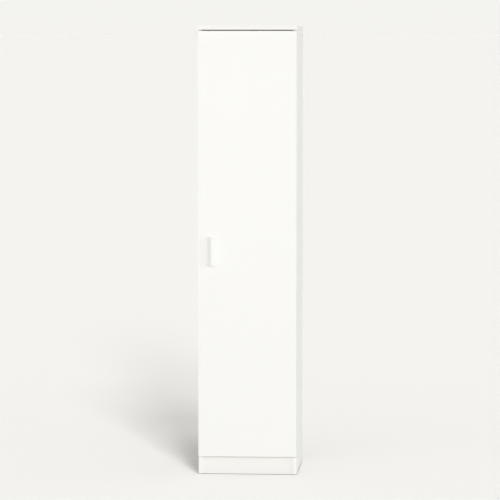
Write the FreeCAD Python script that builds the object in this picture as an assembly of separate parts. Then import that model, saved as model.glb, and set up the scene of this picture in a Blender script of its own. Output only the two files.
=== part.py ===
import FreeCAD, Part
import math
import os
from FreeCAD import Placement, Rotation, Vector

# Tall broom cupboard of 16 mm coated board with one full overlay door hinged
# on the right. Millimetres. X runs to the right, Y to the back, Z up.
# Working zero of Y is the front edge of the side boards; every part is moved
# at the end so that the origin is the bottom centre of the whole cupboard.

# ---- driving dimensions ----
body_width = 400.0
overall_height = 1824.0
body_depth = 450.0
board = 16.0
back_board = 3.0
glide_height = 2.0
glide_radius = 7.0
glide_round = 1.0
glide_inset = 30.0
glide_nail_radius = 0.9
glide_nail_length = 13.0
edge_round = 0.6
pick_tolerance = 0.01

top_side_overhang = 2.0
top_front_lip = 14.0
base_underside = 78.0
plinth_recess = 5.0
hat_compartment_height = 296.0
shelf_setback = 20.0
rail_height = 80.0
back_inset = 1.5
back_joint_height = 940.0
strip_skin = 0.8
strip_web = 1.2
strip_height = 18.0
nail_radius = 0.7
nail_head_radius = 1.6
nail_head_height = 0.6
nail_length = 20.0
nail_end_distance = 40.0

door_back_gap = 3.0
door_top_gap = 4.0
door_side_step = 0.5
door_bottom = 76.0
buffer_radius = 4.0
buffer_end_distance = 40.0

hinge_end_distance = 100.0
cup_radius = 17.5
cup_depth = 12.5
cup_skin = 0.8
cup_edge_strip = 3.0
cup_flange = 1.0
cup_flange_radius = 19.0
cup_wing_half_width = 7.0
cup_wing_reach = 6.0
cup_wing_round = 3.0
cup_screw_spacing = 48.0
cup_screw_offset = 6.0
pin_from_edge = 7.2
pin_from_back = 8.8
pin_radius = 1.25
pin_clearance = 0.05
knuckle_radius = 2.5
ear_gap = 0.2
ear_thickness = 2.8
ear_reach = 2.7
arm_thickness = 2.0
neck_width = 8.0
arm_width = 12.0
arm_reach = 62.0
arm_web_start = 1.0
arm_neck_end = 6.0
arm_lip = 1.3
arm_lip_start = 4.0
arm_bend_round = 1.8
plate_wing = 1.5
plate_wing_half_width = 9.0
plate_wing_reach = 8.0
plate_wing_round = 4.0
plate_rail = 1.8
plate_rail_half_width = 4.5
plate_rail_front = 19.0
plate_rail_rear = 21.0
plate_setback = 37.0
plate_screw_spacing = 32.0
adjusting_screw_forward = 11.0
adjusting_screw_head = 3.0
clamp_screw_rearward = 14.0
clamp_screw_head = 4.0
arm_screw_radius = 2.2
arm_screw_head_height = 1.8

handle_length = 118.0
handle_width = 40.0
handle_proud = 25.0
handle_land = 8.0
handle_edge_distance = 37.5
handle_centre_height = 912.0
handle_screw_spacing = 96.0
handle_screw_radius = 2.0
handle_screw_head = 4.0
handle_screw_head_height = 2.4
handle_screw_grip = 9.0
handle_base_edge = 1.5
handle_wall = 2.5
handle_boss_radius = 4.5
handle_round = 0.7
handle_lower_end_round = 3.0

cam_radius = 7.5
cam_height = 12.5
cam_distance = 34.0
cam_path_clearance = 0.2
cap_radius = 8.5
cap_thickness = 0.9
cap_peg = 1.6
bolt_thread_radius = 2.5
bolt_thread_length = 11.0
bolt_shaft_radius = 3.0
bolt_neck_radius = 2.0
bolt_head_radius = 3.3
bolt_head_length = 5.0
bolt_neck_length = 4.5
bolt_bore_radius = 4.0
drive_radius = 2.0
drive_depth = 2.0
dowel_radius = 4.0
dowel_chamfer = 0.8
dowel_in_side = 11.0
dowel_in_end = 19.0
fitting_inset = 50.0
dowel_pitch = 32.0
plinth_dowel_inset = 18.0

wood_screw_radius = 1.6
wood_screw_head = 3.2
wood_screw_head_height = 1.8
wood_screw_length = 13.5
cup_screw_radius = 1.75
cup_screw_head = 3.4
cup_screw_head_height = 1.4

hook_plate_thickness = 2.0
hook_plate_half_width = 8.0
hook_plate_half_height = 22.0
hook_plate_round = 3.0
hook_wire_radius = 2.2
hook_tip_radius = 3.0
hook_bend_radius = 7.0
hook_reach = 24.0
hook_drop = 6.0
hook_rise = 18.0
hook_screw_offset = 15.0
hook_inset = 92.0

bracket_thickness = 2.0
bracket_leg = 34.0
bracket_half_width = 15.0
bracket_screw_offset = 8.0
wall_hole_radius = 3.0

catch_length = 22.0
catch_front_step = 2.0
catch_width = 14.0
catch_half_height = 20.0
catch_ear_thickness = 4.0
catch_ear_half_height = 31.0
catch_ear_start = 4.0
catch_ear_end = 20.0
catch_screw_offset = 26.0
magnet_wall = 3.0
magnet_depth = 9.0
magnet_half_height = 13.0
strike_margin = 1.0
strike_half_height = 17.0
strike_screw_radius = 1.5
strike_screw_head = 2.8
strike_screw_drive = 1.0

# ---- derived positions ----
half_width = body_width / 2
inner_x = half_width - board
side_depth = body_depth - back_board
side_top = overall_height - board
base_top = base_underside + board
shelf_top = side_top - hat_compartment_height
shelf_underside = shelf_top - board
door_edge_x = half_width - door_side_step
door_back_y = -door_back_gap
door_front_y = door_back_y - board
door_top = side_top - door_top_gap
handle_front_y = door_front_y - handle_proud
frame_shift = Vector(0, -(body_depth + strip_skin + handle_front_y) / 2, 0)
hinge_heights = {
    "bottom": door_bottom + hinge_end_distance,
    "middle": (door_bottom + door_top) / 2,
    "top": door_top - hinge_end_distance,
}
pin_x = door_edge_x - pin_from_edge
pin_y = door_back_y - pin_from_back
cup_x = door_edge_x - cup_edge_strip - cup_radius
fitting_rows = (fitting_inset, side_depth - fitting_inset)

UP = Vector(0, 0, 1)
RIGHT = Vector(1, 0, 0)
BACK = Vector(0, 1, 0)


# ---- helpers ----
def box(x, y, z):
    corner = Vector(x[0], y[0], z[0])
    return Part.makeBox(x[1] - x[0], y[1] - y[0], z[1] - z[0], corner)


def rod(start, direction, radius, length):
    return Part.makeCylinder(radius, length, start, direction)


def around(centre, reach):
    return (centre - reach, centre + reach)


def cut_all(shape, tools):
    if not tools:
        return shape
    return shape.cut(Part.Compound(tools)).removeSplitter()


def fused(shapes):
    result = shapes[0]
    for other in shapes[1:]:
        result = result.fuse(other)
    return result.removeSplitter()


def round_edges(shape, radius, wanted):
    chosen = [edge for edge in shape.Edges if wanted(edge.CenterOfMass, edge)]
    return shape.makeFillet(radius, chosen)


def along(direction):
    def wanted(point, edge):
        turn = edge.tangentAt(edge.FirstParameter).cross(direction)
        return turn.Length < pick_tolerance
    return wanted


def placed(shape, placement):
    moved = shape.copy()
    moved.Placement = placement.multiply(moved.Placement)
    return moved


parts = {}
cutters = {}


def add(name, *shapes):
    parts.setdefault(name, []).extend(shapes)


def cut_from(name, *tools):
    cutters.setdefault(name, []).extend(tools)


def screw(start, inward, head_radius, head_height, shank_radius, length):
    head = rod(start, inward * -1, head_radius, head_height)
    shank = rod(start, inward, shank_radius, length)
    rounded = head.makeFillet(head_height * 0.45, [head.Edges[0]])
    slot_depth = head_height * 0.4
    slot_start = start - inward * (head_height - slot_depth)
    slot = rod(slot_start, inward * -1, head_radius * 0.4, head_height)
    return fused([rounded.cut(slot), shank])


def wood_screw(start, inward):
    return screw(start, inward, wood_screw_head, wood_screw_head_height,
                 wood_screw_radius, wood_screw_length)


# ---- boards ----
def make_boards():
    side_z = (glide_height, side_top)
    left = box((-half_width, -inner_x), (0, side_depth), side_z)
    right = box((inner_x, half_width), (0, side_depth), side_z)
    front_upright = lambda point, edge: point.y < pick_tolerance and edge.Length > board * 2
    add("side_panel_left", round_edges(left, edge_round, front_upright))
    add("side_panel_right", round_edges(right, edge_round, front_upright))

    top_x = around(0, half_width + top_side_overhang)
    top = box(top_x, (door_front_y - top_front_lip, side_depth), (side_top, overall_height))
    not_rear = lambda point, edge: point.y < side_depth - pick_tolerance
    add("top_panel", round_edges(top, edge_round, not_rear))

    inside_x = around(0, inner_x)
    add("base_panel", box(inside_x, (0, side_depth), (base_underside, base_top)))
    plinth_y = (plinth_recess, plinth_recess + board)
    add("plinth_board", box(inside_x, plinth_y, (glide_height, base_underside)))
    shelf = box(inside_x, (shelf_setback, side_depth), (shelf_underside, shelf_top))
    shelf_front = lambda point, edge: (point.y < shelf_setback + pick_tolerance
                                       and edge.Length > board * 2)
    add("fixed_shelf", round_edges(shelf, edge_round, shelf_front))
    rail_y = (side_depth - board, side_depth)
    add("hook_rail", box(inside_x, rail_y, (shelf_underside - rail_height, shelf_underside)))


def make_back():
    back_x = around(0, half_width - back_inset)
    back_y = (side_depth, body_depth)
    half_web = strip_web / 2
    lower_z = (base_underside, back_joint_height - half_web)
    upper_z = (back_joint_height + half_web, overall_height - back_inset)
    add("back_panel_lower", box(back_x, back_y, lower_z))
    add("back_panel_upper", box(back_x, back_y, upper_z))

    strip_x = around(0, inner_x)
    skin_z = around(back_joint_height, strip_height / 2)
    inner_skin = box(strip_x, (side_depth - strip_skin, side_depth), skin_z)
    outer_skin = box(strip_x, (body_depth, body_depth + strip_skin), skin_z)
    web = box(strip_x, back_y, around(back_joint_height, half_web))
    add("back_joining_strip", fused([inner_skin, web, outer_skin]))


def back_nail(x, z, half_name, board_name):
    face = Vector(x, body_depth, z)
    nail = fused([
        rod(face, BACK * -1, nail_head_radius, nail_head_height),
        rod(face, BACK * -1, nail_radius, nail_length),
    ])
    add("back_nails", nail)
    cut_from(half_name, nail)
    cut_from(board_name, nail)


def make_back_nails():
    column_x = half_width - board / 2
    halves = (
        ("back_panel_lower", base_underside, back_joint_height),
        ("back_panel_upper", back_joint_height, side_top),
    )
    nails_per_column = 6
    for half_name, low, high in halves:
        first = low + nail_end_distance
        step = (high - nail_end_distance - first) / (nails_per_column - 1)
        for index in range(nails_per_column):
            z = first + step * index
            back_nail(-column_x, z, half_name, "side_panel_left")
            back_nail(column_x, z, half_name, "side_panel_right")
    for x in (-inner_x / 2, inner_x / 2):
        back_nail(x, base_underside + board / 2, "back_panel_lower", "base_panel")
        back_nail(x, shelf_underside + board / 2, "back_panel_upper", "fixed_shelf")
        back_nail(x, side_top + board / 2, "back_panel_upper", "top_panel")


# ---- board fittings, built along +X with the cam opening downwards ----
def cam_fitting(placement, side_name, end_name, cap=True):
    half_board = board / 2
    centre = Vector(cam_distance, 0, -half_board)
    body = rod(centre, UP, cam_radius, cam_height)
    bolt_path = rod(Vector(cam_distance - 1.1 * cam_radius, 0, 0), RIGHT,
                    bolt_head_radius + cam_path_clearance, 1.6 * cam_radius)
    drive = rod(centre, UP, drive_radius, drive_depth)
    cam = body.cut(Part.Compound([bolt_path, drive]))

    head_start = cam_distance - bolt_head_length / 2
    neck_start = head_start - bolt_neck_length
    bolt = fused([
        rod(Vector(-bolt_thread_length, 0, 0), RIGHT, bolt_thread_radius, bolt_thread_length),
        rod(Vector(0, 0, 0), RIGHT, bolt_shaft_radius, neck_start),
        rod(Vector(neck_start, 0, 0), RIGHT, bolt_neck_radius, bolt_neck_length),
        rod(Vector(head_start, 0, 0), RIGHT, bolt_head_radius, bolt_head_length),
    ])
    bolt_bore = rod(Vector(0, 0, 0), RIGHT, bolt_bore_radius, cam_distance)
    thread_bore = rod(Vector(-bolt_thread_length, 0, 0), RIGHT,
                      bolt_thread_radius, bolt_thread_length)
    add("cam_locks", placed(cam, placement))
    add("cam_bolts", placed(bolt, placement))
    cut_from(side_name, placed(thread_bore, placement))
    cut_from(end_name, placed(bolt_bore, placement), placed(body, placement))
    if cap:
        disc = rod(centre, UP * -1, cap_radius, cap_thickness)
        disc = disc.makeFillet(cap_thickness * 0.6, [disc.Edges[0]])
        peg = rod(centre, UP, drive_radius, cap_peg)
        add("cam_caps", placed(fused([disc, peg]), placement))


def dowel(placement, side_name, end_name):
    length = dowel_in_side + dowel_in_end
    pin = rod(Vector(-dowel_in_side, 0, 0), RIGHT, dowel_radius, length)
    pin = pin.makeChamfer(dowel_chamfer, [edge for edge in pin.Edges if edge.Closed])
    hole = rod(Vector(-dowel_in_side, 0, 0), RIGHT, dowel_radius, length)
    add("wood_dowels", placed(pin, placement))
    cut_from(side_name, placed(hole, placement))
    cut_from(end_name, placed(hole, placement))


SIDES = (
    ("side_panel_left", -1),
    ("side_panel_right", 1),
)


def level_joint(side, x, y, z):
    turn = Rotation(UP, 0 if side < 0 else 180)
    return Placement(Vector(side * x, y, z), turn)


def top_joint(side, y):
    along = UP * -1
    upward = RIGHT * side
    turn = Rotation(along, upward.cross(along), upward, "XYZ")
    return Placement(Vector(side * (half_width - board / 2), y, side_top), turn)


def rail_joint(side, z):
    along = RIGHT * -side
    upward = BACK * -1
    turn = Rotation(along, upward.cross(along), upward, "XYZ")
    return Placement(Vector(side * inner_x, side_depth - board / 2, z), turn)


def make_fittings():
    levels = (
        ("base_panel", base_underside + board / 2, False),
        ("fixed_shelf", shelf_underside + board / 2, True),
    )
    for side_name, side in SIDES:
        for end_name, z, cap in levels:
            for y in fitting_rows:
                cam_fitting(level_joint(side, inner_x, y, z), side_name, end_name, cap)
            for y in (fitting_rows[0] + dowel_pitch, fitting_rows[1] - dowel_pitch):
                dowel(level_joint(side, inner_x, y, z), side_name, end_name)
        for y in fitting_rows:
            cam_fitting(top_joint(side, y), "top_panel", side_name)
        for y in (fitting_rows[0] + dowel_pitch, fitting_rows[1] - dowel_pitch):
            dowel(top_joint(side, y), "top_panel", side_name)
        rail_middle = shelf_underside - rail_height / 2
        cam_fitting(rail_joint(side, rail_middle), side_name, "hook_rail", False)
        plinth_y = plinth_recess + board / 2
        for z in (glide_height + plinth_dowel_inset, base_underside - plinth_dowel_inset):
            dowel(level_joint(side, inner_x, plinth_y, z), side_name, "plinth_board")


def make_glides():
    for side_name, side in SIDES:
        for y in (glide_inset, side_depth - glide_inset):
            foot_centre = Vector(side * (half_width - board / 2), y, 0)
            disc = rod(foot_centre, UP, glide_radius, glide_height)
            disc = disc.makeFillet(glide_round, [disc.Edges[2]])
            nail = rod(foot_centre + UP * glide_height, UP, glide_nail_radius,
                       glide_nail_length)
            add("floor_glides", fused([disc, nail]))
            cut_from(side_name, nail)


# ---- hooks, wall bracket and magnetic catch ----
def make_hooks():
    rail_front = side_depth - board
    plate_middle = shelf_underside - rail_height / 2
    plate_face = rail_front - hook_plate_thickness
    low = plate_middle - hook_drop
    out_y = plate_face - hook_reach
    bend = hook_bend_radius
    bend_middle = bend * (1 - math.sqrt(0.5))
    spread = inner_x - hook_inset
    for place, x in (("left", -spread), ("middle", 0), ("right", spread)):
        plate = box(around(x, hook_plate_half_width), (plate_face, rail_front),
                    around(plate_middle, hook_plate_half_height))
        plate = round_edges(plate, hook_plate_round, along(BACK))
        root = Vector(x, (plate_face + rail_front) / 2, low)
        bend_start = Vector(x, out_y + bend, low)
        bend_end = Vector(x, out_y, low + bend)
        tip_centre = Vector(x, out_y, low + hook_rise)
        path = Part.Wire([
            Part.makeLine(root, bend_start),
            Part.Arc(
                bend_start,
                Vector(x, out_y + bend_middle, low + bend_middle),
                bend_end,
            ).toShape(),
            Part.makeLine(bend_end, tip_centre),
        ])
        ring = Part.makeCircle(hook_wire_radius, root, BACK)
        wire = path.makePipe(Part.Face(Part.Wire([ring])))
        tip = Part.makeSphere(hook_tip_radius, tip_centre)
        hook = fused([plate, wire, tip])
        for z in (plate_middle - hook_screw_offset, plate_middle + hook_screw_offset):
            fixing = wood_screw(Vector(x, plate_face, z), BACK)
            add("hook_screws", fixing)
            hook = hook.cut(fixing)
            cut_from("hook_rail", fixing)
        add("broom_hook_" + place, hook)


def make_wall_bracket():
    leg_y = (side_depth - bracket_leg, side_depth)
    leg_z = (side_top - bracket_leg, side_top)
    width = around(0, bracket_half_width)
    flat = box(width, leg_y, (side_top - bracket_thickness, side_top))
    upright = box(width, (side_depth - bracket_thickness, side_depth), leg_z)
    bracket = fused([flat, upright])
    wall_hole = rod(Vector(0, leg_y[0], side_top - bracket_leg * 0.6), BACK,
                    wall_hole_radius, 2 * bracket_leg)
    for x in (-bracket_screw_offset, bracket_screw_offset):
        start = Vector(x, side_depth - bracket_leg * 0.55, side_top - bracket_thickness)
        fixing = wood_screw(start, UP)
        add("wall_bracket_screws", fixing)
        bracket = bracket.cut(fixing)
        cut_from("top_panel", fixing)
    add("wall_bracket", bracket.cut(wall_hole))
    cut_from("back_panel_upper", wall_hole)


def make_catch():
    front = -catch_front_step
    face = -inner_x
    middle = handle_centre_height
    housing = fused([
        box((face, face + catch_width), (front, front + catch_length),
            around(middle, catch_half_height)),
        box((face, face + catch_ear_thickness), (catch_ear_start, catch_ear_end),
            around(middle, catch_ear_half_height)),
    ])
    magnet = box((face + magnet_wall, face + catch_width - magnet_wall),
                 (front, front + magnet_depth), around(middle, magnet_half_height))
    housing = housing.cut(magnet)
    ear_middle = (catch_ear_start + catch_ear_end) / 2
    for z in (middle - catch_screw_offset, middle + catch_screw_offset):
        fixing = wood_screw(Vector(face + catch_ear_thickness, ear_middle, z), RIGHT * -1)
        add("catch_screws", fixing)
        housing = housing.cut(fixing)
        cut_from("side_panel_left", fixing)
    add("catch_housing", housing)
    add("catch_magnet", magnet)

    plate_x = (face + strike_margin, face + catch_width - strike_margin)
    plate = box(plate_x, (door_back_y, front), around(middle, strike_half_height))
    plate_thickness = front - door_back_y
    plate_centre = Vector(sum(plate_x) / 2, front, middle)
    fixing = fused([
        rod(plate_centre, BACK * -1, strike_screw_head, plate_thickness),
        rod(plate_centre, BACK * -1, strike_screw_radius, wood_screw_length),
    ])
    drive = rod(plate_centre, BACK * -1, strike_screw_drive, plate_thickness / 2)
    add("strike_plate", plate.cut(fixing))
    add("strike_screw", fixing.cut(drive))
    cut_from("door_panel", fixing)


# ---- door ----
def make_door():
    door_x = around(0, door_edge_x)
    door = box(door_x, (door_front_y, door_back_y), (door_bottom, door_top))
    add("door_panel", round_edges(door, edge_round, lambda point, edge: True))
    buffer_x = -(half_width - board / 2)
    for z in (door_bottom + buffer_end_distance, door_top - buffer_end_distance):
        pad = rod(Vector(buffer_x, door_back_y, z), BACK, buffer_radius, door_back_gap)
        add("door_buffers", pad)


def handle_block(middle, outline, low, length):
    corners = [Vector(middle + x, door_front_y - proud, low) for x, proud in outline]
    return Part.Face(Part.makePolygon(corners + corners[:1])).extrude(UP * length)


def make_handle():
    middle = -door_edge_x + handle_edge_distance + handle_width / 2
    low = handle_centre_height - handle_length / 2
    half_base = handle_width / 2
    half_land = handle_land / 2
    run = half_base - half_land
    rise = handle_proud - handle_base_edge
    outer = ((-half_base, 0), (-half_base, handle_base_edge), (-half_land, handle_proud),
             (half_land, handle_proud), (half_base, handle_base_edge), (half_base, 0))
    handle = handle_block(middle, outer, low, handle_length)
    land_y = door_front_y - handle_proud
    lower_end = lambda centre, edge: (abs(centre.y - land_y) < pick_tolerance
                                      and abs(centre.z - low) < pick_tolerance)
    handle = round_edges(handle, handle_lower_end_round, lower_end)
    on_land = lambda centre, edge: (abs(centre.y - land_y) < pick_tolerance
                                    and centre.z > low + handle_lower_end_round + pick_tolerance)
    handle = round_edges(handle, handle_round, on_land)

    inset = handle_wall * math.hypot(run, rise) / rise
    roof = handle_proud - handle_wall
    hollow_base = half_base + run * handle_base_edge / rise - inset
    hollow_roof = half_land + run * handle_wall / rise - inset
    inner = ((-hollow_base, 0), (-hollow_roof, roof), (hollow_roof, roof), (hollow_base, 0))
    handle = handle.cut(handle_block(middle, inner, low + handle_wall,
                                     handle_length - 2 * handle_wall))
    screw_heights = around(handle_centre_height, handle_screw_spacing / 2)
    bosses = [rod(Vector(middle, door_front_y, z), BACK * -1, handle_boss_radius, roof)
              for z in screw_heights]
    handle = fused([handle] + bosses)
    for z in screw_heights:
        fixing = screw(Vector(middle, door_back_y, z), BACK * -1, handle_screw_head,
                       handle_screw_head_height, handle_screw_radius,
                       board + handle_screw_grip)
        add("handle_screws", fixing)
        handle = handle.cut(fixing)
        cut_from("door_panel", fixing)
    add("door_handle", handle)


# ---- single pin cup hinge ----
def make_hinge_cup(place, z):
    bottom_y = door_back_y - cup_depth
    centre = Vector(cup_x, bottom_y, z)
    outer = rod(centre, BACK, cup_radius, cup_depth)
    disc = rod(Vector(cup_x, door_back_y, z), BACK, cup_flange_radius, cup_flange)
    wings = box(around(cup_x - cup_screw_offset, cup_wing_half_width),
                (door_back_y, door_back_y + cup_flange),
                around(z, cup_screw_spacing / 2 + cup_wing_reach))
    wings = round_edges(wings, cup_wing_round, along(BACK))
    hollow = rod(centre + BACK * cup_skin, BACK, cup_radius - cup_skin, cup_depth + cup_flange)
    shell = fused([outer, disc, wings]).cut(hollow)
    ear_low = neck_width / 2 + ear_gap
    ears = [shell]
    limit = rod(centre, BACK, cup_radius - cup_skin / 2, cup_depth)
    for side in (-1, 1):
        ear_z = sorted((z + side * ear_low, z + side * (ear_low + ear_thickness)))
        block = box((pin_x - ear_reach, door_edge_x), (bottom_y, pin_y + ear_reach), ear_z)
        ears.append(block.common(limit))
    pin_half = ear_low + ear_thickness
    pin = rod(Vector(pin_x, pin_y, z - pin_half), UP, pin_radius, 2 * pin_half)
    cup = fused(ears).cut(pin)
    for side in (-1, 1):
        start = Vector(cup_x - cup_screw_offset, door_back_y + cup_flange,
                       z + side * cup_screw_spacing / 2)
        fixing = screw(start, BACK * -1, cup_screw_head, cup_screw_head_height,
                       cup_screw_radius, wood_screw_length)
        add("hinge_cup_screws", fixing)
        cup = cup.cut(fixing)
        cut_from("door_panel", fixing)
    add("hinge_cup_" + place, cup)
    add("hinge_pin_" + place, pin)
    cut_from("door_panel", outer)


def make_hinge_arm(place, z):
    rail_face = inner_x - plate_wing - plate_rail
    web_x = (rail_face - arm_thickness, rail_face)
    neck_z = around(z, neck_width / 2)
    knuckle_front = pin_y - knuckle_radius
    knuckle = rod(Vector(pin_x, pin_y, neck_z[0]), UP, knuckle_radius, neck_width)
    reach = box((web_x[0], pin_x), (knuckle_front, knuckle_front + arm_thickness), neck_z)
    neck = box(web_x, (knuckle_front, arm_neck_end), neck_z)
    web = box(web_x, (arm_web_start, arm_reach), around(z, arm_width / 2))
    lips = []
    for side in (-1, 1):
        lip_z = sorted((z + side * (arm_width / 2 - arm_lip), z + side * arm_width / 2))
        lip_x = (rail_face, rail_face + plate_rail)
        lips.append(box(lip_x, (arm_lip_start, arm_reach), lip_z))
    arm = fused([reach, neck, web] + lips)
    bend_corner = lambda point, edge: (
        abs(point.x - web_x[0]) < pick_tolerance
        and abs(point.y - knuckle_front) < pick_tolerance
        and edge.Length > neck_width - pick_tolerance
    )
    arm = round_edges(arm, arm_bend_round, bend_corner)
    eye = rod(Vector(pin_x, pin_y, neck_z[0]), UP, pin_radius + pin_clearance, neck_width)
    arm = fused([arm, knuckle]).cut(eye)

    wing_y = around(plate_setback, plate_wing_half_width)
    wings = box((inner_x - plate_wing, inner_x), wing_y,
                around(z, plate_screw_spacing / 2 + plate_wing_reach))
    wings = round_edges(wings, plate_wing_round, along(RIGHT))
    rail_y = (plate_setback - plate_rail_front, plate_setback + plate_rail_rear)
    rail = box((rail_face, inner_x), rail_y, around(z, plate_rail_half_width))
    plate = fused([wings, rail])
    outer_x = web_x[0]
    arm_screws = (
        (plate_setback - adjusting_screw_forward, adjusting_screw_head),
        (plate_setback + clamp_screw_rearward, clamp_screw_head),
    )
    for y, head in arm_screws:
        fixing = screw(Vector(outer_x, y, z), RIGHT, head, arm_screw_head_height,
                       arm_screw_radius, arm_thickness + plate_rail + plate_wing)
        add("hinge_arm_screws", fixing)
        arm = arm.cut(fixing)
        plate = plate.cut(fixing)
    for side in (-1, 1):
        start = Vector(inner_x - plate_wing, plate_setback, z + side * plate_screw_spacing / 2)
        fixing = screw(start, RIGHT, cup_screw_head, cup_screw_head_height,
                       cup_screw_radius, wood_screw_length)
        add("hinge_plate_screws", fixing)
        plate = plate.cut(fixing)
        cut_from("side_panel_right", fixing)
    add("hinge_arm_" + place, arm)
    add("hinge_plate_" + place, plate)


def export_parts():
    os.makedirs("parts", exist_ok=True)
    for name, shapes in parts.items():
        finished = []
        for shape in shapes:
            finished.extend(cut_all(shape, cutters.get(name)).Solids)
        node = finished[0] if len(finished) == 1 else Part.Compound(finished)
        node.translate(frame_shift)
        if not node.isValid():
            raise ValueError(name + " is not a valid shape")
        node.exportStep("parts/" + name + ".step")
        print(name, len(finished), round(node.Volume, 1))


make_boards()
make_back()
make_back_nails()
make_fittings()
make_glides()
make_hooks()
make_wall_bracket()
make_catch()
make_door()
make_handle()
for hinge_place, hinge_z in hinge_heights.items():
    make_hinge_cup(hinge_place, hinge_z)
    make_hinge_arm(hinge_place, hinge_z)
export_parts()
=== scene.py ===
"""Looks of the broom cupboard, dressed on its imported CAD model. Metres, Z up, door facing -Y."""

import math

import bpy
from mathutils import Euler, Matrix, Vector


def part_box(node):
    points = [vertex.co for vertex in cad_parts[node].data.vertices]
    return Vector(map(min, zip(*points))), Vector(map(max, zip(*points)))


# Camera, fitted to the photographed edges. The sensor's width is in millimetres.
IMAGE_PIXELS = 500
FOCAL_PIXELS = 2959.0
SENSOR_WIDTH = 36.0
CAMERA_FROM_DOOR_EDGE = Vector((0.840, -11.932, 1.795))
CAMERA_YAW = math.radians(3.98)
CAMERA_PITCH = math.radians(4.195)

# World: one colour where it is seen or mirrored, and a sky that dims overhead where it gives light.
BACKGROUND = (0.903, 0.897, 0.865)
SKY = (0.900, 0.902, 0.905)
SKY_FADE_START = math.sin(math.radians(28.0))
SKY_FADE_END = math.sin(math.radians(50.0))
SKY_OVERHEAD = 0.15

# Elevation of a lamp straight above.
OVERHEAD = math.pi / 2

# Floor, and the lamps that light it alone. Each strip is a few suns, one above the other.
FLOOR = (0.614, 0.608, 0.587)
FLOOR_CLOUDS = 0.998
FLOOR_BOUNCE = 0.715
FLOOR_SIZE = 40000.0
FLOOR_FILL = 0.41
FLOOR_FILL_SOFTNESS = math.pi
FLOOR_KEY_LEVEL = 0.635
FLOOR_KEY_SOFTNESS = math.radians(5.6)
FLOOR_STRIP_SUNS = 3
FLOOR_STRIPS = (  # azimuth, lowest and highest elevation in degrees, share of the key
    (11.0, 18.0, 28.0, 0.25),
    (17.0, 34.0, 50.0, 0.40),
    (13.0, 66.0, 78.0, 0.35))

# Lamps that light everything but the floor.
SOFTBOX_AZIMUTH = math.radians(-4.0)
SOFTBOX_DISTANCE = 8.0
SOFTBOX_HEIGHT = 2.20
SOFTBOX_WIDTH = 1.4
SOFTBOX_TALL = 1.6
SOFTBOX_WATTS = 181.0
TOP_SOFTNESS = math.radians(20.0)
TOP_STRENGTH = 1.2
SIDE_ELEVATION = math.radians(8.0)
SIDE_SOFTNESS = math.radians(25.0)
SIDE_SUNS = ((50.0, 0.225), (68.0, 0.272), (80.0, 0.272))  # azimuth in degrees and strength

# Colours, linear.
DOOR_WHITE = (0.920, 0.915, 0.890)
CARCASS_WHITE = (0.890, 0.886, 0.862)
HANDLE_WHITE = (0.910, 0.910, 0.900)
PLASTIC_WHITE = (0.860, 0.860, 0.845)
CHIP_LIGHT = (0.560, 0.430, 0.290)
CHIP_DARK = (0.330, 0.230, 0.140)
HARDBOARD_BROWN = (0.300, 0.185, 0.100)
BEECH_LIGHT = (0.620, 0.430, 0.260)
BEECH_DARK = (0.480, 0.310, 0.170)
BUFFER_GREY = (0.70, 0.70, 0.67)
BUFFER_CLEAR = (0.80, 0.80, 0.78)
FERRITE_GRIT = (0.09, 0.09, 0.095)
FERRITE_DARK = (0.03, 0.03, 0.032)
NICKEL = (0.62, 0.61, 0.59)
ZINC = (0.56, 0.57, 0.58)
CAST_ZINC = (0.48, 0.48, 0.49)
BRIGHT_STEEL = (0.70, 0.70, 0.71)

# Surfaces: roughness, reflection, transmission, and depth of the relief in metres.
BOARD_ROUGHNESS = 0.42
TOP_ROUGHNESS = 0.60
DOOR_ROUGHNESS = 0.38
BOARD_SPECULAR = 0.42
FITTING_ROUGHNESS = 0.45
PULL_ROUGHNESS = 0.28
PLASTIC_SPECULAR = 0.5
NICKEL_ROUGHNESS = 0.30
ZINC_ROUGHNESS = 0.38
CAST_ROUGHNESS = 0.48
BRIGHT_ROUGHNESS = 0.16
BEECH_ROUGHNESS = 0.7
BUFFER_TRANSMISSION = 0.35
PORE_DEPTH = 0.00003
FIBRE_DEPTH = 0.0002
SPARK_DEPTH = 0.00002
MARK_DEPTH = 0.00003
WOOD_DEPTH = 0.0001
GRIT_DEPTH = 0.0001

# How a pattern is stretched: a small number draws it out along that axis.
EVEN = (1.0, 1.0, 1.0)
CHIPS_FLAT = (1.0, 1.0, 2.2)
FIBRES_UPRIGHT = (1.0, 1.0, 0.45)
GRAIN_ALONG_X = (0.12, 1.0, 1.0)
FLECKS_ALONG_X = (0.25, 1.0, 1.0)
DRAWN_ALONG_Y = (1.0, 0.15, 1.0)
DRAWN_ALONG_Z = (1.0, 1.0, 0.2)
POLISHED_ALONG_Z = (1.0, 1.0, 0.15)

# Faces by the axis and sign of their normal.
FRONT = ("Y", -1.0)
REAR = ("Y", 1.0)
LEFT = ("X", -1.0)
RIGHT = ("X", 1.0)
BOTTOM = ("Z", -1.0)
TOP = ("Z", 1.0)
FACING_LIMIT = 0.9


# ---- helpers ----
def scaled(colour, factor):
    return tuple(channel * factor for channel in colour)


def place(name, data):
    """A new object with this data, in the scene."""
    placed = bpy.data.objects.new(name, data)
    bpy.context.scene.collection.objects.link(placed)
    return placed


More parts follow.
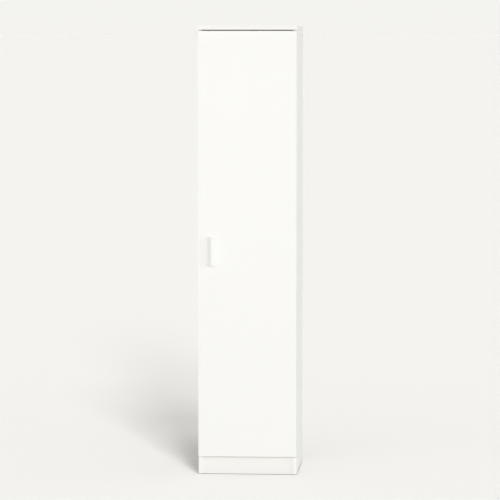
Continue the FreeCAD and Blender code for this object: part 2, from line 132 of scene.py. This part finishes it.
class Shader:
    """One procedural material: a Principled shader with helpers that add nodes in front of it."""

    def __init__(self, name):
        self.material = bpy.data.materials.new(name)
        self.material.use_nodes = True
        self.nodes = self.material.node_tree.nodes
        self.links = self.material.node_tree.links
        self.principled = self.nodes["Principled BSDF"]
        self.position = self.nodes.new("ShaderNodeTexCoord").outputs["Object"]

    def set(self, **values):
        for label, value in values.items():
            self.principled.inputs[label.replace("_", " ")].default_value = value

    def link(self, output, label):
        self.links.new(output, self.principled.inputs[label])

    def stretched(self, scale):
        node = self.nodes.new("ShaderNodeMapping")
        node.inputs["Scale"].default_value = scale
        self.links.new(self.position, node.inputs["Vector"])
        return node.outputs["Vector"]

    def noise(self, scale, detail=3.0, roughness=0.55, vector=None):
        node = self.nodes.new("ShaderNodeTexNoise")
        node.inputs["Scale"].default_value = scale
        node.inputs["Detail"].default_value = detail
        node.inputs["Roughness"].default_value = roughness
        self.links.new(vector or self.position, node.inputs["Vector"])
        return node.outputs["Fac"]

    def cells(self, scale, vector=None, output="Color"):
        node = self.nodes.new("ShaderNodeTexVoronoi")
        node.inputs["Scale"].default_value = scale
        self.links.new(vector or self.position, node.inputs["Vector"])
        return node.outputs[output]

    def ramp(self, factor, low, high, start=0.3, end=0.7):
        node = self.nodes.new("ShaderNodeValToRGB")
        node.color_ramp.elements[0].position = start
        node.color_ramp.elements[1].position = end
        node.color_ramp.elements[0].color = (*low, 1)
        node.color_ramp.elements[1].color = (*high, 1)
        self.links.new(factor, node.inputs["Fac"])
        return node.outputs["Color"]

    def spread(self, factor, low, high):
        node = self.nodes.new("ShaderNodeMapRange")
        node.inputs["To Min"].default_value = low
        node.inputs["To Max"].default_value = high
        self.links.new(factor, node.inputs["Value"])
        return node.outputs["Result"]

    def math(self, operation, first, second):
        node = self.nodes.new("ShaderNodeMath")
        node.operation = operation
        for socket, value in zip(node.inputs, (first, second)):
            if isinstance(value, float):
                socket.default_value = value
            else:
                self.links.new(value, socket)
        return node.outputs["Value"]

    def mix(self, factor, first, second):
        node = self.nodes.new("ShaderNodeMix")
        node.data_type = "RGBA"
        self.links.new(factor, node.inputs["Factor"])
        for socket, value in ((node.inputs["A"], first), (node.inputs["B"], second)):
            if isinstance(value, tuple):
                socket.default_value = (*value, 1)
            else:
                self.links.new(value, socket)
        return node.outputs["Result"]

    def facing(self, face):
        """1 where the normal, in the object's own axes, points that way, otherwise 0."""
        axis, sign = face
        coordinates = self.nodes.new("ShaderNodeTexCoord")
        split = self.nodes.new("ShaderNodeSeparateXYZ")
        self.links.new(coordinates.outputs["Normal"], split.inputs[0])
        toward = self.math("MULTIPLY", split.outputs[axis], sign)
        return self.math("GREATER_THAN", toward, FACING_LIMIT)

    def bump(self, height, distance, strength):
        node = self.nodes.new("ShaderNodeBump")
        node.inputs["Distance"].default_value = distance
        node.inputs["Strength"].default_value = strength
        self.links.new(height, node.inputs["Height"])
        self.link(node.outputs["Normal"], "Normal")


# ---- materials ----
def coated_board(name, white, raw_faces, roughness, band_white=None):
    """White melamine over chipboard: faint clouds, fine orange peel, bare chips on uncoated edges."""
    shader = Shader(name)
    cloud = shader.ramp(shader.noise(scale=2.2, detail=2.0), scaled(white, 0.990), white)
    pores = shader.noise(scale=1400.0, detail=2.0)
    speckle = shader.ramp(pores, scaled(white, 0.985), white, start=0.25, end=0.45)
    coat = shader.mix(shader.noise(scale=60.0), cloud, speckle)
    chips = shader.cells(scale=420.0, vector=shader.stretched(CHIPS_FLAT))
    chip_tone = shader.ramp(chips, CHIP_DARK, CHIP_LIGHT, start=0.15, end=0.8)
    if band_white:
        coat = shader.mix(shader.facing(FRONT), coat, band_white)
    raw = None
    for raw_face in raw_faces:
        face = shader.facing(raw_face)
        raw = face if raw is None else shader.math("MAXIMUM", raw, face)
    if raw is None:
        shader.link(coat, "Base Color")
    else:
        shader.link(shader.mix(raw, coat, chip_tone), "Base Color")
    handled = shader.noise(scale=35.0)
    shader.link(shader.spread(handled, low=roughness - 0.05, high=roughness + 0.06), "Roughness")
    shader.set(Specular_IOR_Level=BOARD_SPECULAR)
    shader.bump(pores, PORE_DEPTH, strength=0.5)
    return shader.material


def hardboard():
    """Thin fibre board: printed white inside, raw brown with fine upright fibres outside."""
    shader = Shader("back_hardboard")
    fibre = shader.noise(scale=380.0, detail=6.0, roughness=0.7, vector=shader.stretched(FIBRES_UPRIGHT))
    patches = shader.noise(scale=9.0, detail=4.0)
    darker = shader.ramp(fibre, scaled(HARDBOARD_BROWN, 0.72), HARDBOARD_BROWN)
    lighter = shader.ramp(fibre, HARDBOARD_BROWN, scaled(HARDBOARD_BROWN, 1.35))
    brown = shader.mix(patches, darker, lighter)
    inside = shader.facing(FRONT)
    print_dots = shader.noise(scale=500.0, detail=2.0)
    white = shader.ramp(print_dots, scaled(CARCASS_WHITE, 0.95), scaled(CARCASS_WHITE, 0.98))
    shader.link(shader.mix(inside, brown, white), "Base Color")
    shader.link(shader.spread(patches, low=0.55, high=0.75), "Roughness")
    shader.bump(fibre, FIBRE_DEPTH, strength=0.5)
    return shader.material


def plastic(name, colour, roughness):
    """Moulded plastic: slight flow shading, fine spark-eroded grain."""
    shader = Shader(name)
    flow = shader.noise(scale=45.0)
    grain = shader.noise(scale=2600.0, detail=2.0)
    shader.link(shader.ramp(flow, scaled(colour, 0.985), colour), "Base Color")
    shader.link(shader.spread(grain, low=roughness - 0.05, high=roughness + 0.07), "Roughness")
    shader.set(Specular_IOR_Level=PLASTIC_SPECULAR)
    shader.bump(grain, SPARK_DEPTH, strength=0.4)
    return shader.material


def metal(name, colour, roughness, stretch, scale=700.0):
    """Bare or plated metal: marks stretched as told, or even, and duller patches."""
    shader = Shader(name)
    marks = shader.noise(scale, detail=4.0, roughness=0.65, vector=shader.stretched(stretch))
    patches = shader.noise(scale=120.0)
    marked = shader.ramp(marks, scaled(colour, 0.9), colour)
    shader.link(shader.mix(patches, scaled(colour, 0.86), marked), "Base Color")
    shader.link(shader.spread(marks, low=roughness - 0.07, high=roughness + 0.1), "Roughness")
    shader.set(Metallic=1.0)
    shader.bump(marks, MARK_DEPTH, strength=0.4)
    return shader.material


def beech():
    """Turned beech with short dark flecks along the grain."""
    shader = Shader("beech_dowel")
    grain = shader.noise(scale=260.0, detail=5.0, roughness=0.6, vector=shader.stretched(GRAIN_ALONG_X))
    flecks = shader.cells(scale=900.0, vector=shader.stretched(FLECKS_ALONG_X), output="Distance")
    tone = shader.ramp(grain, BEECH_DARK, BEECH_LIGHT)
    flecked = shader.spread(flecks, low=0.0, high=0.5)
    shader.link(shader.mix(flecked, tone, scaled(BEECH_DARK, 0.7)), "Base Color")
    shader.set(Roughness=BEECH_ROUGHNESS)
    shader.bump(grain, WOOD_DEPTH, strength=0.5)
    return shader.material


def soft_buffer():
    """Translucent soft bumper, slightly cloudy."""
    shader = Shader("buffer_elastomer")
    haze = shader.noise(scale=350.0)
    shader.link(shader.ramp(haze, BUFFER_GREY, BUFFER_CLEAR), "Base Color")
    shader.link(shader.spread(haze, low=0.3, high=0.5), "Roughness")
    shader.set(Transmission_Weight=BUFFER_TRANSMISSION)
    return shader.material


def ferrite():
    """Sintered dark magnet with slightly paler grit."""
    shader = Shader("magnet_ferrite")
    grit = shader.cells(scale=1500.0, output="Distance")
    shader.link(shader.ramp(grit, FERRITE_GRIT, FERRITE_DARK, start=0.05, end=0.5), "Base Color")
    shader.link(shader.spread(shader.noise(scale=600.0), low=0.45, high=0.7), "Roughness")
    shader.bump(grit, GRIT_DEPTH, strength=0.3)
    return shader.material


def dress(nodes):
    """Give every CAD node its material. Nodes that aren't named here are metal fittings."""
    side = coated_board("side_melamine", CARCASS_WHITE, (BOTTOM, TOP, REAR), BOARD_ROUGHNESS, DOOR_WHITE)
    top = coated_board("top_melamine", CARCASS_WHITE, (REAR,), TOP_ROUGHNESS)
    shelf = coated_board("shelf_melamine", CARCASS_WHITE, (REAR, RIGHT, LEFT), BOARD_ROUGHNESS)
    rail = coated_board("rail_melamine", CARCASS_WHITE, (RIGHT, LEFT), BOARD_ROUGHNESS)
    plinth = coated_board("plinth_melamine", CARCASS_WHITE, (RIGHT, LEFT), BOARD_ROUGHNESS)
    door = coated_board("door_melamine", DOOR_WHITE, (), DOOR_ROUGHNESS)
    white_parts = plastic("fitting_plastic", PLASTIC_WHITE, FITTING_ROUGHNESS)
    pull = plastic("pull_plastic", HANDLE_WHITE, PULL_ROUGHNESS)
    nickel = metal("hinge_nickel", NICKEL, NICKEL_ROUGHNESS, DRAWN_ALONG_Y)
    zinc = metal("zinc_plate", ZINC, ZINC_ROUGHNESS, DRAWN_ALONG_Z)
    cast = metal("cam_cast", CAST_ZINC, CAST_ROUGHNESS, EVEN, scale=400.0)
    bright = metal("hook_bright", BRIGHT_STEEL, BRIGHT_ROUGHNESS, POLISHED_ALONG_Z)
    back = hardboard()
    chosen = {
        "side_panel_left": side, "side_panel_right": side, "top_panel": top,
        "base_panel": shelf, "fixed_shelf": shelf, "hook_rail": rail, "plinth_board": plinth,
        "back_panel_lower": back, "back_panel_upper": back, "back_joining_strip": white_parts,
        "cam_locks": cast, "wood_dowels": beech(), "cam_caps": white_parts,
        "floor_glides": white_parts, "catch_housing": white_parts, "catch_magnet": ferrite(),
        "door_panel": door, "door_handle": pull, "door_buffers": soft_buffer(),
    }
    for name, node in nodes.items():
        if name in chosen:
            material = chosen[name]
        elif name.startswith("broom_hook"):
            material = bright
        elif name.startswith("hinge_") and not name.endswith("screws"):
            material = nickel
        else:
            material = zinc
        node.data.materials.clear()
        node.data.materials.append(material)


# ---- floor, light and camera ----
def seen_directly(nodes, links):
    """1 for camera, glossy and transmission rays, 0 for the light that the floor and world give off."""
    path = nodes.new("ShaderNodeLightPath")
    seen = path.outputs["Is Camera Ray"]
    for label in ("Is Glossy Ray", "Is Transmission Ray"):
        either = nodes.new("ShaderNodeMath")
        either.operation = "MAXIMUM"
        links.new(seen, either.inputs[0])
        links.new(path.outputs[label], either.inputs[1])
        seen = either.outputs["Value"]
    return seen


def build_floor():
    half = FLOOR_SIZE / 2
    corners = [(-half, -half, 0), (half, -half, 0), (half, half, 0), (-half, half, 0)]
    mesh = bpy.data.meshes.new("floor")
    mesh.from_pydata(corners, [], [(0, 1, 2, 3)])
    floor = place("floor", mesh)
    shader = Shader("floor_paint")
    paint = shader.ramp(shader.noise(scale=0.8, detail=2.0), scaled(FLOOR, FLOOR_CLOUDS), FLOOR)
    seen = seen_directly(shader.nodes, shader.links)
    shader.link(shader.mix(seen, scaled(FLOOR, FLOOR_BOUNCE), paint), "Base Color")
    shader.set(Roughness=1.0, Specular_IOR_Level=0.0)
    mesh.materials.append(shader.material)
    return floor


def build_world():
    world = bpy.data.worlds.new("studio")
    world.use_nodes = True
    bpy.context.scene.world = world
    nodes, links = world.node_tree.nodes, world.node_tree.links
    direction = nodes.new("ShaderNodeSeparateXYZ")
    links.new(nodes.new("ShaderNodeTexCoord").outputs["Generated"], direction.inputs[0])
    height = nodes.new("ShaderNodeMapRange")
    height.interpolation_type = "SMOOTHSTEP"
    height.inputs["From Min"].default_value = SKY_FADE_START
    height.inputs["From Max"].default_value = SKY_FADE_END
    links.new(direction.outputs["Z"], height.inputs["Value"])
    glow = nodes.new("ShaderNodeMix")
    glow.data_type = "RGBA"
    glow.inputs["A"].default_value = (*SKY, 1)
    glow.inputs["B"].default_value = (*scaled(SKY, SKY_OVERHEAD), 1)
    links.new(height.outputs["Result"], glow.inputs["Factor"])
    colour = nodes.new("ShaderNodeMix")
    colour.data_type = "RGBA"
    colour.inputs["B"].default_value = (*BACKGROUND, 1)
    links.new(glow.outputs["Result"], colour.inputs["A"])
    links.new(seen_directly(nodes, links), colour.inputs["Factor"])
    links.new(colour.outputs["Result"], nodes["Background"].inputs["Color"])


def aimed(azimuth, elevation):
    """Rotation of a lamp that shines from here. Azimuths count from the front to the right."""
    return Euler((math.pi / 2 - elevation, 0, azimuth), "XYZ")


def add_sun(name, azimuth, elevation, softness, strength):
    lamp = bpy.data.lights.new(name, "SUN")
    lamp.angle = softness
    lamp.energy = strength
    sun = place(name, lamp)
    sun.rotation_euler = aimed(azimuth, elevation)
    return sun


def add_softbox():
    lamp = bpy.data.lights.new("softbox", "AREA")
    lamp.shape = "RECTANGLE"
    lamp.size = SOFTBOX_WIDTH
    lamp.size_y = SOFTBOX_TALL
    lamp.energy = SOFTBOX_WATTS
    box = place("softbox", lamp)
    box.location = (SOFTBOX_DISTANCE * math.sin(SOFTBOX_AZIMUTH),
                    -SOFTBOX_DISTANCE * math.cos(SOFTBOX_AZIMUTH), SOFTBOX_HEIGHT)
    box.rotation_euler = aimed(SOFTBOX_AZIMUTH, 0.0)
    box.visible_camera = False
    box.visible_glossy = False
    return box


def build_object_lights(floor):
    spared = bpy.data.collections.new("all_but_floor")
    spared.objects.link(floor)
    spared.collection_objects[0].light_linking.link_state = "EXCLUDE"
    lamps = [add_softbox(), add_sun("top", 0.0, OVERHEAD, TOP_SOFTNESS, TOP_STRENGTH)]
    for azimuth, strength in SIDE_SUNS:
        lamps.append(add_sun("side", math.radians(azimuth), SIDE_ELEVATION, SIDE_SOFTNESS, strength))
    for lamp in lamps:
        lamp.light_linking.receiver_collection = spared


def build_floor_lights(floor):
    """An even fill and the key's strips. A slanting sun is made stronger, so that the shares add up."""
    receivers = bpy.data.collections.new("floor_only")
    receivers.objects.link(floor)
    lamps = [add_sun("floor_fill", 0.0, OVERHEAD, FLOOR_FILL_SOFTNESS, FLOOR_FILL * math.pi)]
    for azimuth, lowest, highest, share in FLOOR_STRIPS:
        level = FLOOR_KEY_LEVEL * share / FLOOR_STRIP_SUNS
        turn = math.radians(azimuth)
        for step in range(FLOOR_STRIP_SUNS):
            elevation = math.radians(lowest + (highest - lowest) * step / (FLOOR_STRIP_SUNS - 1))
            strength = level * math.pi / math.sin(elevation)
            lamps.append(add_sun("floor_key", turn, elevation, FLOOR_KEY_SOFTNESS, strength))
    for lamp in lamps:
        lamp.light_linking.receiver_collection = receivers


def build_camera():
    door_edge_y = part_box("side_panel_right")[0].y
    data = bpy.data.cameras.new("camera")
    data.sensor_width = SENSOR_WIDTH
    data.lens = FOCAL_PIXELS / IMAGE_PIXELS * SENSOR_WIDTH
    data.clip_end = 2 * FLOOR_SIZE
    camera = place("camera", data)
    camera.location = CAMERA_FROM_DOOR_EDGE + Vector((0, door_edge_y, 0))
    camera.rotation_euler = Euler((math.pi / 2 - CAMERA_PITCH, 0, CAMERA_YAW), "XYZ")
    bpy.context.scene.camera = camera


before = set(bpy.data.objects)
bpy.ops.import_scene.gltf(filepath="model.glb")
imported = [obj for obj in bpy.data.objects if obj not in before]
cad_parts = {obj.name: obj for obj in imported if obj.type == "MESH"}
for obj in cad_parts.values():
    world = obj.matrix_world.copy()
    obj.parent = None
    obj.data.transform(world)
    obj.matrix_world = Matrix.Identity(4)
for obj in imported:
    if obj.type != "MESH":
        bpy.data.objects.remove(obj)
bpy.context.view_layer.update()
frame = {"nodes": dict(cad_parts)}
bpy.context.scene.view_settings.view_transform = "Standard"
dress(frame["nodes"])
build_world()
floor_plane = build_floor()
build_object_lights(floor_plane)
build_floor_lights(floor_plane)
build_camera()
